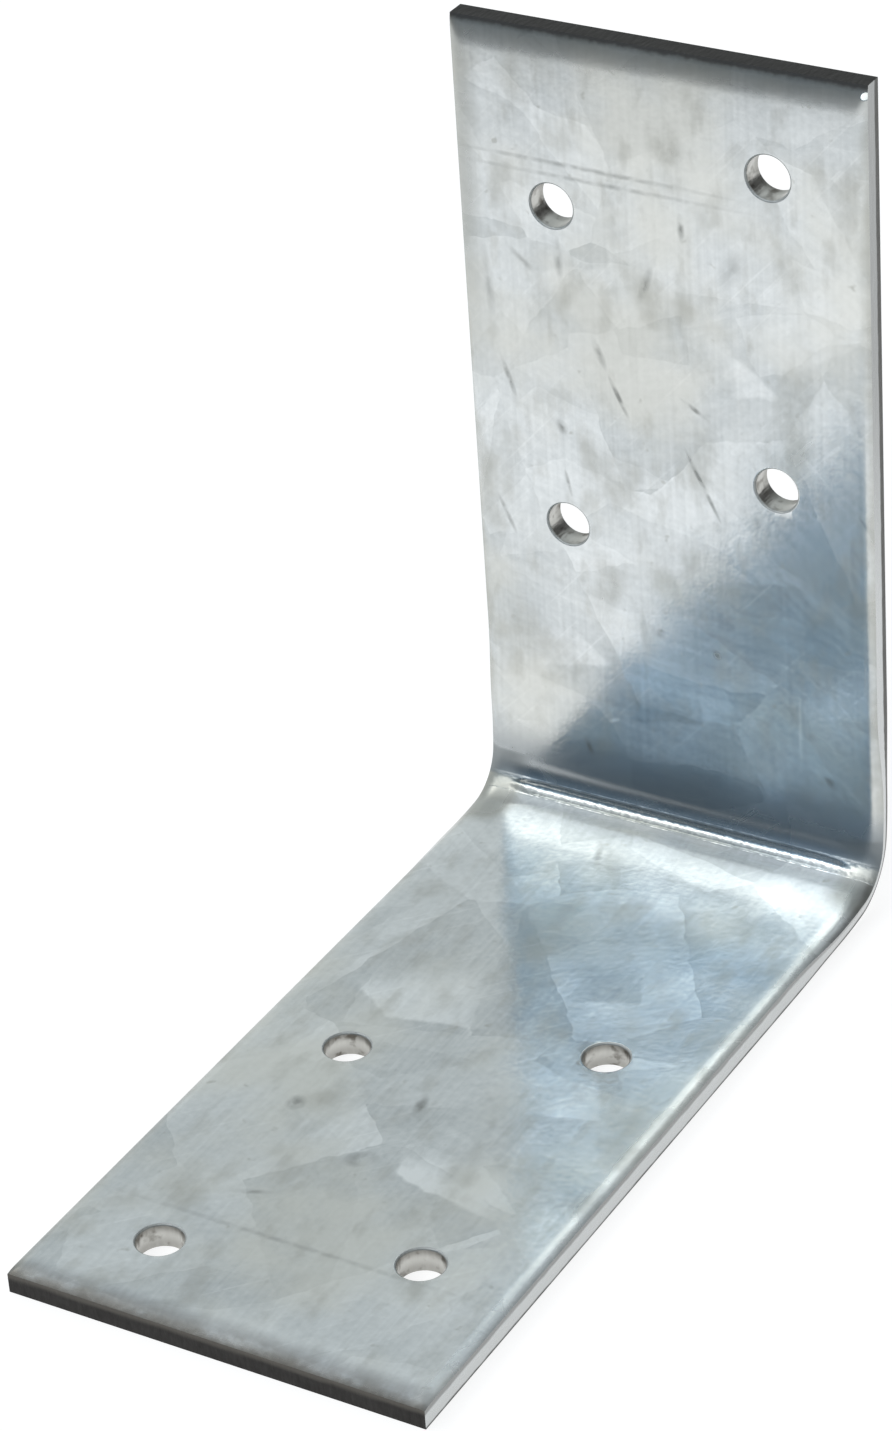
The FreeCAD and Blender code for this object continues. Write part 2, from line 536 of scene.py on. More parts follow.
def run_tree(blank):
    sizes = {
        "Sheet": sheet,
        "Bend Radius": bend_radius,
        "Ease Radius": ease_radius,
        "Hole Radius": hole_radius,
        "Mouth Radius": mouth_radius,
    }
    tree = punch_and_fold_tree(sizes)
    nodes = blank.modifiers.new("punch_and_fold", "NODES")
    nodes.node_group = tree
    for item in tree.interface.items_tree:
        if item.in_out == "INPUT" and item.name in sizes:
            nodes[item.identifier] = sizes[item.name]
    normals = blank.modifiers.new("flat_faces_stay_flat", "WEIGHTED_NORMAL")
    normals.keep_sharp = True
    graph = bpy.context.evaluated_depsgraph_get()
    mesh = bpy.data.meshes.new_from_object(blank.evaluated_get(graph), depsgraph=graph)
    bpy.data.objects.remove(blank)
    plate = bpy.data.objects.new("folded_plate", mesh)
    bpy.context.scene.collection.objects.link(plate)
    return plate


def print_measures(mesh):
    check = bmesh.new()
    check.from_mesh(mesh)
    loose = [edge for edge in check.edges if not edge.is_manifold]
    volume = check.calc_volume(signed=True) / MM ** 3
    check.free()
    print(f"The plate has {len(mesh.polygons)} faces, {len(loose)} open edges,")
    print(f"a volume of {volume:.0f} mm3, and finishes", list(mesh.materials))


plate = run_tree(blank)
print_measures(plate.data)
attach(plate, "root")
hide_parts("framing_angle")

# %% [markdown]
# ## Galvanised faces
#
# Molten zinc freezes on the steel as flat crystals. A crystal is a bundle of long shards that lie one way,
# with feathery lines along them. Each shard has its own gloss and its own slight tilt, so neighbours catch
# the light differently. The crystals are grown from noise on the flat blank, because the strip was coated
# before it was folded: a large Voronoi cell is a crystal, and a small one that is stretched along the
# crystal's own direction is a shard.

# %% Places on the blank, and cloudy noise
fold_start_mm = flat_run / MM
bend_start_mm = tight_start / MM
bend_end_mm = tight_end / MM
fold_end_mm = fold_end / MM
length_mm = blank_length / MM


def surface(material):
    """The material's tree and its shader node."""
    tree = material.node_tree
    return tree, tree.nodes["Principled BSDF"]


def connect(shader, **wires):
    """Feeds the shader's inputs, with _ for the space in an input's name."""
    for name, wire in wires.items():
        shader.id_data.links.new(wire.socket, shader.inputs[name.replace("_", " ")])


def blank_place(tree):
    """A point's place on the flat blank, in mm: across the strip, along it, and in from the outer face."""
    return Wire.add(tree, "ShaderNodeAttribute", output="Vector", attribute_name="blank_mm").parts()


def joined(x, y, z=0.0):
    tree = next(part.tree for part in (x, y, z) if isinstance(part, Wire))
    return Wire.add(tree, "ShaderNodeCombineXYZ", {0: x, 1: y, 2: z})


def cloud(place, scale=1.0, detail=2.0, output="Fac"):
    """Noise about 0.5 over a surface, with scale in features per mm."""
    feeds = {"Vector": place, "Scale": scale, "Detail": detail}
    return Wire.add(place.tree, "ShaderNodeTexNoise", feeds, output)


def between(along, start, end, rise, fall):
    """1 between two places on the blank, with soft borders outside them, all in mm."""
    return along.step(start - rise, start) * (1 - along.step(end, end + fall))


print(f"For the finishes, the tight bend lies from {bend_start_mm:.2f} to {bend_end_mm:.2f} mm")

# %% Zinc crystals
crystal_size = 15.0
shard_length = 13.0
shard_width = 4.5
raggedness = 1.4
feathers_along = 0.14
feathers_across = 1.1
grey = (0.5, 0.5, 0.5)


def cells(place, size=1.0):
    """Random numbers for each Voronoi cell."""
    feeds = {"Vector": place, "Scale": 1 / size}
    return Wire.add(place.tree, "ShaderNodeTexVoronoi", feeds, "Color", voronoi_dimensions="2D")


def zinc_crystals(place):
    """A place with ragged borders, numbers of each crystal and each shard, and the shards' feathery lines."""
    wobble = cloud(place, 0.35, 3.0, "Color").vector("SUBTRACT", grey).vector("SCALE", raggedness)
    ragged = place.vector("ADD", wobble)
    crystal = cells(ragged, crystal_size)
    feeds = {"Vector": ragged, "Angle": crystal.parts()[0] * (2 * math.pi)}
    turned = Wire.add(place.tree, "ShaderNodeVectorRotate", feeds, rotation_type="Z_AXIS")
    lengthwise, crosswise, _ = turned.parts()
    shard = cells(joined(lengthwise / shard_length, crosswise / shard_width))
    feathering = cloud(joined(lengthwise * feathers_along, crosswise * feathers_across), detail=4.5)
    return ragged, crystal, shard, feathering


print(f"Crystals are about {crystal_size:.0f} mm across, with shards {shard_width:.1f} mm wide")

# %% [markdown]
# A few crystals stand out by their straight sides, so they get places of their own: each is a shade, lighter
# or darker than the rest, and its corners on the blank. A point lies in a crystal if it is on the inner side
# of every straight line from corner to corner. The first half of the sides is sharp, and towards the others
# a crystal fades.

# %% The crystals that stand out
large_crystals = (
    (0.65, ((-15.7, 46.3), (-9.4, 42.4), (0.3, 44.5), (-3.6, 53.3), (-12.3, 51.0))),
    (0.8, ((0.8, 27.7), (2.8, 23.0), (8.4, 22.4), (13.5, 21.2), (13.7, 26.8), (9.9, 29.7))),
    (-0.1, ((2.2, 17.5), (6.6, 19.2), (2.7, 22.8), (1.0, 27.0), (-2.4, 23.0))),
    (0.5, ((8.3, 35.3), (13.9, 37.2), (10.2, 44.0), (4.5, 41.7), (3.6, 38.8))),
    (0.5, ((-4.7, -1.4), (11.6, -1.4), (12.7, 5.7), (3.9, 6.8), (-8.0, 8.1))),
    (0.4, ((-15.0, 91.2), (-6.3, 93.4), (-10.8, 97.1), (-17.7, 95.4))),
    (-0.45, ((2.7, 50.7), (9.2, 53.0), (7.2, 58.5), (-1.3, 57.1))),
    (-0.3, ((-15.5, 130.3), (-4.8, 132.4), (-5.0, 138.3), (-14.5, 137.5))),
    (0.4, ((8.8, 107.9), (16.7, 101.8), (17.4, 115.1), (9.8, 114.2))),
    (-0.4, ((-5.5, 87.6), (2.5, 89.7), (2.2, 93.2), (-5.8, 92.2))),
    (0.4, ((4.0, 104.7), (12.1, 105.6), (11.3, 110.3), (4.7, 111.7))),
    (-0.25, ((2.9, 99.6), (5.6, 99.7), (6.4, 101.3), (3.3, 104.3))),
    (-0.25, ((13.8, 105.5), (16.9, 106.8), (16.7, 109.9), (13.7, 109.2))),
    (0.3, ((13.0, 92.7), (18.5, 94.4), (18.4, 100.7), (13.4, 98.1))),
    (0.3, ((2.6, 84.3), (5.2, 87.6), (-2.3, 85.0))),
    (0.4, ((5.9, 122.4), (10.7, 123.5), (5.0, 128.1), (3.1, 127.7))),
    (0.25, ((10.0, 124.9), (18.8, 130.2), (17.9, 137.8), (9.0, 137.9), (6.2, 130.2))),
)
border_outside = 0.15
sharp_border = 0.4
fading_share = 0.3


def straight_sided(place, corners):
    """1 inside corners that follow each other anticlockwise, 0 outside."""
    size = max(math.dist(one, other) for one in corners for other in corners)
    sharp_sides = len(corners) // 2
    sides = []
    for index, ((x0, y0), (x1, y1)) in enumerate(zip(corners, corners[1:] + corners[:1])):
        inward = Vector((y0 - y1, x1 - x0, 0)).normalized()
        past_side = place.vector("DOT_PRODUCT", inward, "Value") - inward.dot((x0, y0, 0))
        border = sharp_border if index < sharp_sides else size * fading_share
        sides.append(past_side.step(-border_outside, border))
    return math.prod(sides[1:], start=sides[0])


def large_crystal_shade(place):
    shades = [straight_sided(place, corners) * shade for shade, corners in large_crystals]
    return sum(shades[1:], shades[0])


print(len(large_crystals), "crystals stand out")

# %% [markdown]
# The sheet has been handled: there are short dark scratches and smears on both legs, and faint lines straight
# across the strip where the press held it, close to each end. They are drawn as long soft spots at their
# places on the blank, each from one point to another with a width and a strength. A spot is a ball-shaped
# gradient that a Mapping node stretches, which is cheaper than working out a distance to a line.

# %% Scratches and press lines
# Across, along, across, along, width and strength
upright_strokes = (
    (-16.0, 122.5, -14.5, 118.0, 0.35, 0.5),
    (-7.0, 126.0, -5.6, 122.6, 0.45, 0.35),
    (-5.6, 122.6, -3.6, 118.4, 0.3, 0.6),
    (1.2, 121.7, 4.0, 120.0, 0.3, 0.6),
    (1.4, 117.2, 5.0, 110.0, 0.28, 0.6),
    (-10.2, 112.4, -9.6, 109.6, 0.25, 0.5),
    (-9.8, 134.8, -9.7, 130.0, 0.5, 0.3),
    (1.9, 139.0, 2.1, 136.0, 0.4, 0.4),
    (-0.9, 133.5, -2.2, 129.8, 0.5, 0.35),
    (7.8, 136.6, 5.4, 132.6, 1.2, 0.2),
    (-16.9, 133.1, -16.4, 124.3, 0.5, 0.2),
    (-14.9, 133.1, -11.6, 130.3, 0.4, 0.25),
    (-17.1, 108.6, -15.3, 104.6, 0.3, 0.4),
    (-9.5, 85.6, -8.5, 83.0, 0.4, 0.5),
    (13.7, 87.5, 15.0, 86.2, 0.5, 0.5),
    (-2.6, 98.6, -0.9, 97.5, 0.5, 0.3),
    (-10.6, 117.4, -9.9, 115.4, 0.6, 0.4),
)
flat_strokes = (
    (-10.2, 29.9, -9.7, 27.6, 1.0, 0.45),
    (-0.9, 34.5, 0.1, 31.0, 0.7, 0.5),
    (-2.4, 23.3, 0.1, 25.5, 1.1, 0.45),
    (-8.8, 16.2, -4.7, 17.8, 0.4, 0.3),
)
dark_spots = (
    (3.7, 97.6, 4.3, 96.6, 0.5, 0.4),
    (12.6, 91.6, 13.0, 90.2, 0.7, 0.45),
    (-2.2, 98.5, -0.9, 98.1, 0.35, 0.4),
)
light_scratches = (
    (5.0, 106.9, 8.5, 110.8, 0.22, 0.6),
    (11.4, 117.7, 14.9, 121.6, 0.25, 0.6),
    (14.4, 118.6, 16.7, 120.7, 0.25, 0.5),
    (-7.1, 101.0, -7.2, 96.0, 0.25, 0.5),
    (-4.5, 101.0, -5.9, 93.5, 0.2, 0.5),
    (11.9, 95.7, 11.6, 86.7, 0.25, 0.4),
    (-7.1, 87.5, -5.7, 88.2, 0.3, 0.5),
)
press_lines = (
    (-21.0, 12.5, 19.0, 12.6, 0.4, 0.2),
    (-21.0, 141.4, 8.5, 141.0, 0.32, 0.3),
    (-21.0, 140.2, 10.0, 140.0, 0.3, 0.24),
)
dark_strokes = upright_strokes + flat_strokes + dark_spots + press_lines
strongest_stroke = 0.8


def stroke(place, x0, y0, x1, y1, width, strength):
    """A soft mark from one point to the other."""
    line = Vector((x1 - x0, y1 - y0, 0))
    feeds = {
        "Vector": place,
        "Location": ((x0 + x1) / 2, (y0 + y1) / 2, 0),
        "Rotation": (0, 0, math.atan2(line.y, line.x)),
        "Scale": (line.length / 2, width, 1),
    }
    local = Wire.add(place.tree, "ShaderNodeMapping", feeds, vector_type="TEXTURE")
    spot = Wire.add(place.tree, "ShaderNodeTexGradient", {0: local}, "Fac", gradient_type="SPHERICAL")
    return spot * (2 * strength)


def all_strokes(place, strokes):
    total = stroke(place, *strokes[0])
    for one in strokes[1:]:
        total = total.max(stroke(place, *one))
    return total.min(strongest_stroke)


print(f"{len(dark_strokes)} dark strokes and {len(light_scratches)} light scratches")

# %% [markdown]
# The finish is built up in layers, as the real one came about: first the zinc's own shades with the lines
# that rolling and handling left, then dirt, then wear. A painted sheen beside the fold and painted dark
# reflections on the upright's left edge and above the crease go into these layers too. Each layer adds its
# masks to one record, `zinc`, and the colour, the roughness and the face's direction are mixed from these
# masks at the end. The two faces of the sheet read the same noise at places that are far apart, so that they
# don't look alike.

# %% The zinc's shades
# The offset is in mm, clouds and rolling lines are in features per mm, and hairlines have a direction
outer_face_offset = 300.0
haze_scale = 0.07
grain_scale = 1.6
rolling_across = 2.4
rolling_along = 0.05
hairline_across = 0.67
hairline_along = 0.74


def zinc_point(tree):
    """A point of either face, with the clouds that several layers share."""
    zinc = SimpleNamespace(tree=tree)
    zinc.across, zinc.along, depth = blank_place(tree)
    zinc.inner = depth > sheet / MM / 2
    zinc.outer = 1 - zinc.inner
    zinc.place = joined(zinc.across + zinc.outer * outer_face_offset, zinc.along)
    zinc.on_upright = zinc.along.step(bend_end_mm, fold_end_mm)
    zinc.haze = cloud(zinc.place, haze_scale, 4.0)
    zinc.grain = cloud(zinc.place, grain_scale, 1.0)
    return zinc


def light_lines(zinc):
    """The scratches that have their own places, and hairlines that all run one way."""
    lengthwise = zinc.across * hairline_across + zinc.along * hairline_along
    crosswise = zinc.across * hairline_along - zinc.along * hairline_across
    hairlines = cloud(joined(lengthwise * 0.07, crosswise * 2.6, zinc.outer), detail=1.0).step(0.6, 0.78)
    return all_strokes(zinc.place, light_scratches).max(hairlines * 0.3)


def add_shades(zinc):
    """How light and warm the zinc is: crystals, streaks, and paler places by the fold and on the right."""
    ragged, crystal, zinc.shard, zinc.feathering = zinc_crystals(zinc.place)
    shard_tone, zinc.gloss, _ = zinc.shard.parts()
    tones = (shard_tone + crystal.parts()[1]) * 0.38 + large_crystal_shade(ragged) + zinc.haze * 0.9
    rolling = cloud(joined(zinc.across * rolling_across, zinc.along * rolling_along, zinc.outer))
    zinc.light_lines = light_lines(zinc)
    streaks = zinc.feathering * (0.35 + zinc.on_upright * 0.2) + rolling * 0.45 + zinc.grain * 0.4
    # Painted sheen: beside the fold the zinc is painted paler and less warm, which brightens the glare band.
    beside_fold = between(zinc.along, bend_start_mm - swell_run / MM / 2, bend_start_mm, 4.0, 1.0)
    paler = beside_fold * 0.15 + zinc.across.step(4.0, 15.0) * (1 - zinc.on_upright) * 0.2
    zinc.shade = tones + streaks + zinc.light_lines * 0.6 + paler - 1.0
    warm_clouds = cloud(joined(zinc.across, zinc.along, zinc.outer + 7.0), 0.08, 4.0)
    zinc.warmth = warm_clouds.step(0.42, 0.7) * (0.55 - beside_fold * 0.45)


hairline_slope = math.degrees(math.atan2(hairline_along, hairline_across))
print(f"Hairlines run {hairline_slope:.0f} degrees off the strip's width")

# %% [markdown]
# Dirt lies in blotches, smudges and specks over the faces, and along the strip's edges. The zinc is also
# darker towards the upright's end and at both ends of the tight bend, most at the left, and the upright's
# left edge is darkened by a painted dark reflection.

# %% The dirt, and a painted dark reflection


def add_dirt(zinc):
    """Dirt on faces and edges, darkening at the ends, and a painted dark reflection; 1 is a full coat."""
    across = zinc.across
    along = zinc.along
    x, y, _ = zinc.place.parts()
    blotches = cloud(joined(x * 0.2, y * 0.12), detail=5.0).step(0.5, 0.74) * 0.5
    smudges = cloud(joined(x * 0.42, y * 0.19), detail=6.0).step(0.52, 0.74) * 0.32
    specks = cloud(zinc.place, 0.7).step(0.66, 0.8) * 0.4
    near_fold = between(along, fold_start_mm, bend_end_mm, 6.0, 3.0)
    on_faces = (blotches.max(smudges) * (1 - near_fold * 0.9)).max(specks)

    uneven = cloud(zinc.place, 0.25, 4.0) * 2.4
    clean_edge = across.step(15.0, 17.0) * (1 - along.step(fold_start_mm, fold_end_mm))
    edges = (abs(across) + uneven).step(19.3, 20.6) * (0.5 - clean_edge * 0.4)
    # Painted dark reflection: the upright's left roll is darkened where it would mirror a darker floor.
    left_edge_dark_reflection = (uneven * 0.5 - across).step(16.6, 19.4) * along.step(112.0, 140.0) * 0.55
    upright_end = (along + uneven * 0.5).step(length_mm - 3.0, length_mm) * 0.4
    in_bend = between(along, bend_start_mm, bend_end_mm, 4.0, 0.5) * zinc.inner
    bend_ends = abs(across).step(14.5, 17.5) * in_bend * (1.5 - across.step(0.0, 1.0) * 0.8)
    zinc.dirt = on_faces.max(edges).max(left_edge_dark_reflection).max(upright_end) + bend_ends


print("The dirt's rules are ready")

# %% [markdown]
# The shear has rubbed the zinc off close to both ends, and the scratches go through it. Above the crease the
# zinc is painted darker and bluer: a painted dark reflection. Beside the fold the sheet isn't quite flat: a
# slight bow, which only the reflections show, dies out along each leg. A small burr on the upright's right
# corner leans so far that it catches the bright strip of the room.

# %% The wear, and a painted dark reflection above the crease
# The burr is a stroke too, whose strength is cut off at its lean
corner_burr = (18.5, 151.85, 19.2, 152.45, 0.36, 1.3)
burr_lean = 0.6
upright_bow = 0.04
flat_bow = 0.008
bow_run = 12.0


def add_wear_and_dark_reflection(zinc):
    """Scratches, rubbed and soiled ends, and the zinc in and above the crease."""
    along = zinc.along
    zinc.marks = all_strokes(zinc.place, dark_strokes) * cloud(zinc.place, 0.8).step(0.25, 0.65)
    zinc.rubbed_top = (along + zinc.grain * 0.3).step(length_mm - 0.6, length_mm)
    zinc.rubbed_front = 1 - (along + zinc.grain * 0.4 + zinc.haze * 0.6).step(0.3, 1.4)
    soil = cloud(joined(zinc.across, along * 1.5), 0.25, 4.0).step(0.2, 0.6)
    zinc.soiled_front = soil * (1 - (along + zinc.haze * 1.5).step(0.9, 3.4))
    # Painted dark reflection: above the crease the zinc is painted darker and bluer.
    zinc.strained = between(along, high_lip / MM, bend_end_mm, 0.4, 5.0) * zinc.inner
    zinc.in_crease = between(along, low_lip / MM, high_lip / MM, 0.1, 0.3) * zinc.inner
    zinc.above_crease = between(along, high_lip / MM, bend_end_mm, 0.1, 3.0) * zinc.inner


def bow_beside_fold(along):
    """How far the faces lean beside the fold: nothing in the bend, most at its ends, then dying out."""
    before = (bend_start_mm - along).max(0.0)
    after = (along - bend_end_mm).max(0.0)
    past = before + after
    most = flat_bow + (along > bend_end_mm) * (upright_bow - flat_bow)
    return past.step(0.0, ease_run / MM) * (1 - past.step(ease_run / MM, bow_run)) * most


print(f"The bow dies out {bow_run:.0f} mm from the tight bend")

# %% The zinc's colour, roughness and direction
bright_zinc = (0.835, 0.87, 0.88, 1)
dim_zinc = (0.495, 0.53, 0.54, 1)
warm_zinc = (0.72, 0.717, 0.655, 1)
dirty_zinc = (0.36, 0.36, 0.315, 1)
strained_zinc = (0.28, 0.31, 0.335, 1)
scratched_zinc = (0.2, 0.21, 0.2, 1)
bare_top = (0.075, 0.07, 0.067, 1)
bare_front = (0.12, 0.112, 0.1, 1)
front_soil = (0.27, 0.25, 0.215, 1)
most_dirt = 0.65
flat_roughness = 0.11
upright_roughness = 0.16
shard_tilt = 0.011
shard_tilt_by_fold = 0.005
wave_lean = 0.04
grain_height = 0.006
grain_in_crease = 0.046
grain_above_crease = 0.002


def zinc_colour(zinc):
    colour = zinc.warmth.mix(zinc.shade.mix(dim_zinc, bright_zinc), warm_zinc)
    layers = (
        (zinc.dirt.min(most_dirt), dirty_zinc),
        (zinc.strained * 0.7, strained_zinc),
        (zinc.marks, scratched_zinc),
        (zinc.rubbed_top * 0.9, bare_top),
        (zinc.soiled_front * 0.75, front_soil),
        (zinc.rubbed_front * 0.85, bare_front),
    )
    for mask, layer_colour in layers:
        colour = mask.mix(colour, layer_colour)
    return colour


def zinc_roughness(zinc):
    pattern = zinc.gloss * 0.05 + (zinc.feathering - 0.35) * 0.05 + zinc.light_lines * 0.06
    wear = zinc.dirt * 0.15 + zinc.marks * 0.1 + (zinc.rubbed_top + zinc.rubbed_front) * 0.2
    crease = zinc.in_crease * 0.08 + zinc.above_crease * 0.12
    top_roll = zinc.along.step(length_mm - 5.0, length_mm - 2.0) * 0.05
    right_roll = zinc.across.step(17.2, 18.2) * (1 - zinc.on_upright) * 0.12
    leg = flat_roughness + zinc.on_upright * (upright_roughness - flat_roughness)
    return leg + pattern + wear + crease + top_roll + right_roll


def zinc_normal(zinc):
    """The face's direction, leaning by bow, burr, the shard's tilt and a soft wave, with a fine grain."""
    bow = bow_beside_fold(zinc.along) * (1 - zinc.outer * 2.0)
    burr = stroke(zinc.place, *corner_burr).min(burr_lean)
    calm = between(zinc.along, fold_start_mm, bend_end_mm, 9.0, 3.0)
    tilt = shard_tilt + calm * (shard_tilt_by_fold - shard_tilt)
    tilted = zinc.shard.vector("SUBTRACT", grey).vector("SCALE", tilt)
    wave = cloud(zinc.place, 0.2, 3.0, "Color").vector("SUBTRACT", grey).vector("SCALE", wave_lean)
    leaning = joined(0.0, bow * -1.0, bow + burr).vector("ADD", tilted).vector("ADD", wave)
    turned = Wire.add(zinc.tree, "ShaderNodeNewGeometry", output="Normal").vector("ADD", leaning)
    rise_in = zinc.in_crease * (grain_in_crease - grain_height)
    rise_above = zinc.above_crease * (grain_above_crease - grain_height)
    height = zinc.grain * (grain_height + rise_in + rise_above)
    feeds = {"Height": height, "Normal": turned.vector("NORMALIZE"), "Distance": MM}
    return Wire.add(zinc.tree, "ShaderNodeBump", feeds)


def fill_zinc_face():
    tree, shader = surface(finishes["zinc_face"])
    zinc = zinc_point(tree)
    add_shades(zinc)
    add_dirt(zinc)
    add_wear_and_dark_reflection(zinc)
    connect(shader, Base_Color=zinc_colour(zinc), Roughness=zinc_roughness(zinc), Normal=zinc_normal(zinc))
    shader.inputs["Metallic"].default_value = 0.95


fill_zinc_face()
print("Zinc face:", len(finishes["zinc_face"].node_tree.nodes), "nodes")

# %% [markdown]
# ## Cut edges
#
# A blade first bends the sheet, then cuts a smooth land, then tears the rest. Along the slit sides the bright
# land and the dull torn band lie side by side. The sheared ends have lost their zinc and are nearly black.
# The punched walls are streaked bare steel. Each is a band by depth in the sheet, in mm from the outer face,
# with its border made uneven by noise.

# %% Slit sides
bright_land = (0.58, 0.6, 0.6, 1)
torn_steel_and_dark_reflection = (0.13, 0.13, 0.125, 1)
tear_on_flat = 0.2
tear_on_upright = 0.8
tear_softness = 0.12


def bump(tree, height):
    return Wire.add(tree, "ShaderNodeBump", {"Height": height, "Distance": MM})


def fill_slit_side():
    tree, shader = surface(finishes["slit_side"])
    across, along, depth = blank_place(tree)
    ripple = cloud(joined(along * 0.5, depth * 2.0, across), detail=3.0) - 0.5
    level = depth + ripple * 0.3
    on_upright = along.step(fold_start_mm - swell_run / MM, fold_end_mm)
    tear = tear_on_flat + on_upright * (tear_on_upright - tear_on_flat)
    torn = 1 - (level - tear).step(-tear_softness, tear_softness)
    # Painted dark reflection: near the inner face the flat leg's side is darkened, as a rounder shoulder
    # would look.
    painted_shoulder_reflection = level.step(1.5, 1.85) * (1 - on_upright)
    dulled = along.step(100.0, 130.0) * 0.5
    colour = torn.max(painted_shoulder_reflection * 0.65).max(dulled).mix(bright_land, torn_steel_and_dark_reflection)
    rough = 0.28 + torn * 0.2 + ripple * 0.15
    height = ripple * 0.05 + cloud(joined(along * 3.0, depth * 0.8, across)) * torn * 0.05
    connect(shader, Base_Color=colour, Roughness=rough, Normal=bump(tree, height))
    shader.inputs["Metallic"].default_value = 1.0


fill_slit_side()
print("Slit side:", len(finishes["slit_side"].node_tree.nodes), "nodes")

# %% Sheared ends
black_steel = (0.02, 0.019, 0.018, 1)
grey_steel = (0.075, 0.072, 0.07, 1)
soiled_steel = (0.115, 0.108, 0.097, 1)


def fill_sheared_end():
    tree, shader = surface(finishes["sheared_end"])
    across, along, depth = blank_place(tree)
    combed = cloud(joined(across * 2.5, depth * 0.6, along), detail=3.0)
    blotch = cloud(joined(across * 0.25, depth * 0.8, along))
    colour = (combed * 0.6 + blotch * 0.6 - 0.2).mix(black_steel, grey_steel)
    soiled = (depth + blotch * 0.5).step(1.6, 2.3) * (1 - along.step(1.0, 2.0))
    colour = soiled.mix(colour, soiled_steel)
    rough = 0.4 + blotch * 0.2
    connect(shader, Base_Color=colour, Roughness=rough, Normal=bump(tree, combed * 0.06))
    shader.inputs["Metallic"].default_value = 1.0


fill_sheared_end()
print("Sheared end:", len(finishes["sheared_end"].node_tree.nodes), "nodes")

# %% Punched walls
wall_steel = (0.6, 0.6, 0.57, 1)
brown_steel_and_shade = (0.15, 0.14, 0.122, 1)
drawn_zinc = (0.52, 0.54, 0.53, 1)


def fill_punched_wall():
    tree, shader = surface(finishes["punched_wall"])
    across, along, depth = blank_place(tree)
    combed = cloud(joined(across * 2.2, along * 2.2, depth * 0.35), detail=3.0)
    torn = 1 - (depth + combed * 0.6).step(0.6, 1.5)
    mouth = depth.step(1.9, 2.15)
    # Painted shade: on the flat leg the hole walls are darkened towards the inner face, at the top of the
    # wall.
    shaded = depth.step(1.2, 1.95) * (1 - along.step(fold_start_mm, fold_end_mm))
    spots = cloud(joined(across, along, depth), 0.9, 3.0).step(0.5, 0.7)
    browned_and_shaded = combed * 0.4 + torn * 0.3 + spots * 0.6 + shaded * 0.5 - 0.1
    colour = (mouth * 0.7).mix(browned_and_shaded.mix(wall_steel, brown_steel_and_shade), drawn_zinc)
    rough = 0.28 + torn * 0.1 + mouth * 0.2
    metal = 1 - mouth * 0.6
    connect(shader, Base_Color=colour, Roughness=rough, Metallic=metal, Normal=bump(tree, combed * 0.06))


fill_punched_wall()
print("Punched wall:", len(finishes["punched_wall"].node_tree.nodes), "nodes")

# %% [markdown]
# ## The floor
#
# The part stands on white paper. The paper is white to the eye and in the metal, and a grey under it takes
# the part's shadow. In the metal the paper ends a little way off, as a real sheet does, and the table beyond
# is darker: the rolled edge at the top of the upright shows it as a grey band.

# %% The floor
floor_reach = 4.0
# The level direction in which the paper ends and the room's bright strip lies
front = Vector((-0.533, -0.846, 0))
paper_end = (0.135, 0.185)
paper_glow = 0.82
table_glow = 0.05
under_paper = (0.3, 0.3, 0.3, 1)


def floor_material():
    material = bpy.data.materials.new("pale_floor")
    material.use_nodes = True
    tree, shader = surface(material)
    path = Wire.add(tree, "ShaderNodeLightPath")
    seen = path.other("Is Camera Ray").max(path.other("Is Transmission Ray"))
    distance = Wire.add(tree, "ShaderNodeTexCoord", output="Object").vector("DOT_PRODUCT", front, "Value")
    mirrored = paper_glow + distance.step(*paper_end) * (table_glow - paper_glow)
    glow = (seen * paper_glow).max(path.other("Is Glossy Ray") * mirrored)
    connect(shader, Emission_Strength=glow)
    shader.inputs["Emission Color"].default_value = (1, 1, 1, 1)
    shader.inputs["Base Color"].default_value = under_paper
    shader.inputs["Roughness"].default_value = 1.0
    shader.inputs["Specular IOR Level"].default_value = 0.0
    return material


def pale_floor():
    corners = [(x * floor_reach, y * floor_reach, 0) for x, y in ((-1, -1), (1, -1), (1, 1), (-1, 1))]
    mesh = bpy.data.meshes.new("floor")
    mesh.from_pydata(corners, [], [(0, 1, 2, 3)])
    mesh.materials.append(floor_material())
    floor = bpy.data.objects.new("floor", mesh)
    bpy.context.scene.collection.objects.link(floor)
    return floor


floor = pale_floor()
print("The floor is", floor.dimensions.x, "m wide")

# %% [markdown]
# ## The room and its light
#
# Bright metal shows whatever stands round it, so the room is half of the finish. In front and to the left it
# is dark and bluish near the horizon and has a soft bright strip halfway up, as a window has. Behind it is
# an even grey, with a dark corner on the right. Far out on both sides are pale walls, which the flat leg
# shows to someone who stands beside it. The room is painted on the world by direction, mostly as two ramps
# from horizon to zenith, because a world has no hard edges that rough metal would have to hide.

# %% The room
strip_light = 3.8
front_stops = (
    (0.0, (0.12, 0.145, 0.17)),
    (0.24, (0.07, 0.125, 0.18)),
    (0.42, (0.095, 0.155, 0.225)),
    (0.50, (0.26, 0.39, 0.52)),
    (0.54, (0.23, 0.39, 0.58)),
    (0.565, (0.47, 0.71, 0.96)),
    (0.60, (0.72, 0.92, 1.1)),
    (0.64, (0.95, 1.1, 1.2)),
    (0.69, (3.4, 3.4, 3.35)),
    (0.77, (3.4, 3.4, 3.35)),
    (0.86, (0.8, 0.87, 0.93)),
    (1.0, (0.46, 0.5, 0.535)),
)
back_stops = (
    (0.0, (0.75, 0.78, 0.78)),
    (0.5, (0.68, 0.715, 0.715)),
    (0.65, (0.62, 0.66, 0.67)),
    (0.85, (0.46, 0.5, 0.535)),
    (1.0, (0.46, 0.5, 0.535)),
)
dark_corner = (0.08, 0.08, 0.08)
side_wall = (0.5, 0.53, 0.54)
front_border = (-0.1, 0.35)
corner_border = (0.12, 0.4)
